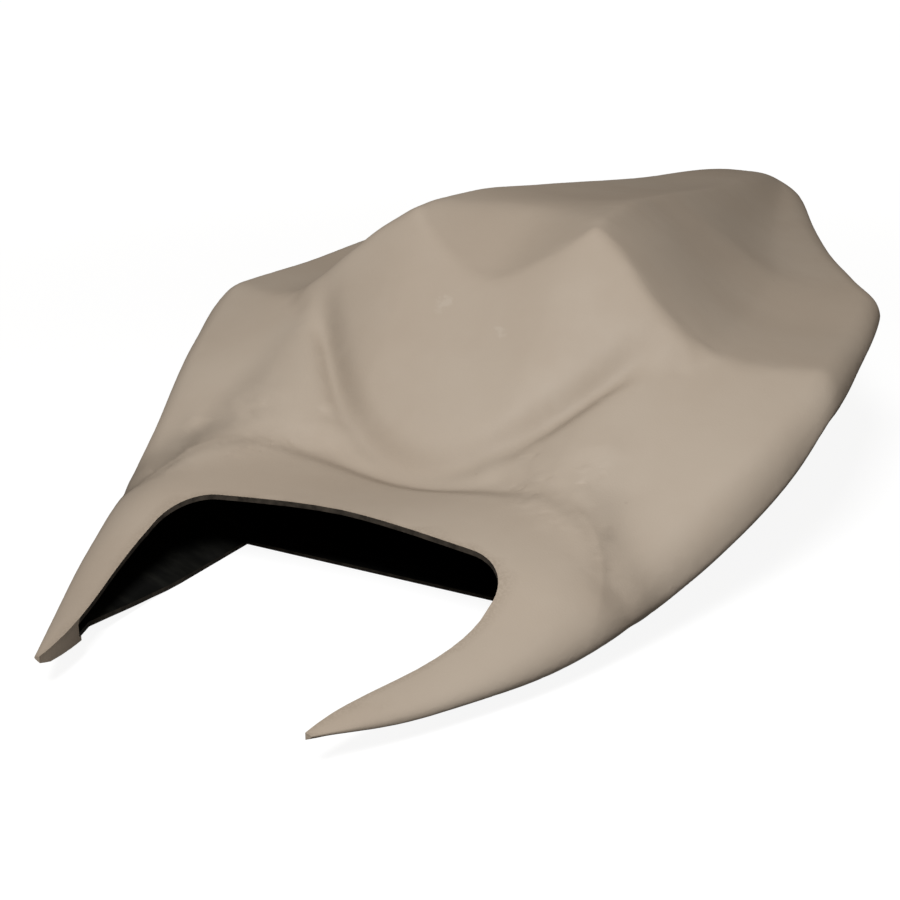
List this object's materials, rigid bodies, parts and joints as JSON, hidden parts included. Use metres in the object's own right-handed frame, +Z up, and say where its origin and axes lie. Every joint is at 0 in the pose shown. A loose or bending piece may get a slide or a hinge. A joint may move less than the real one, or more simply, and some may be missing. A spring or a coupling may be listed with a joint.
{
  "type": "seat cowl",
  "caption": "Moulded motorcycle seat cowl: front arms round an open mouth, a sloping hump front with raised ridges and a channel, and a tapering tail over a flat tray.",
  "frame": {"origin": "centre of the bounding box, on the flat underside of the tray", "axes": "+Y from the arm tips toward the tail end, +Z up, +X toward the side that is nearer in the picture"},
  "size_m": [0.3862, 0.716, 0.1679],
  "materials": {
    "shell": "matte grey-beige primer outside, black inside"
  },
  "bodies": {
    "root": {"seat_cowl": "shell"}
  },
  "joints": []
}
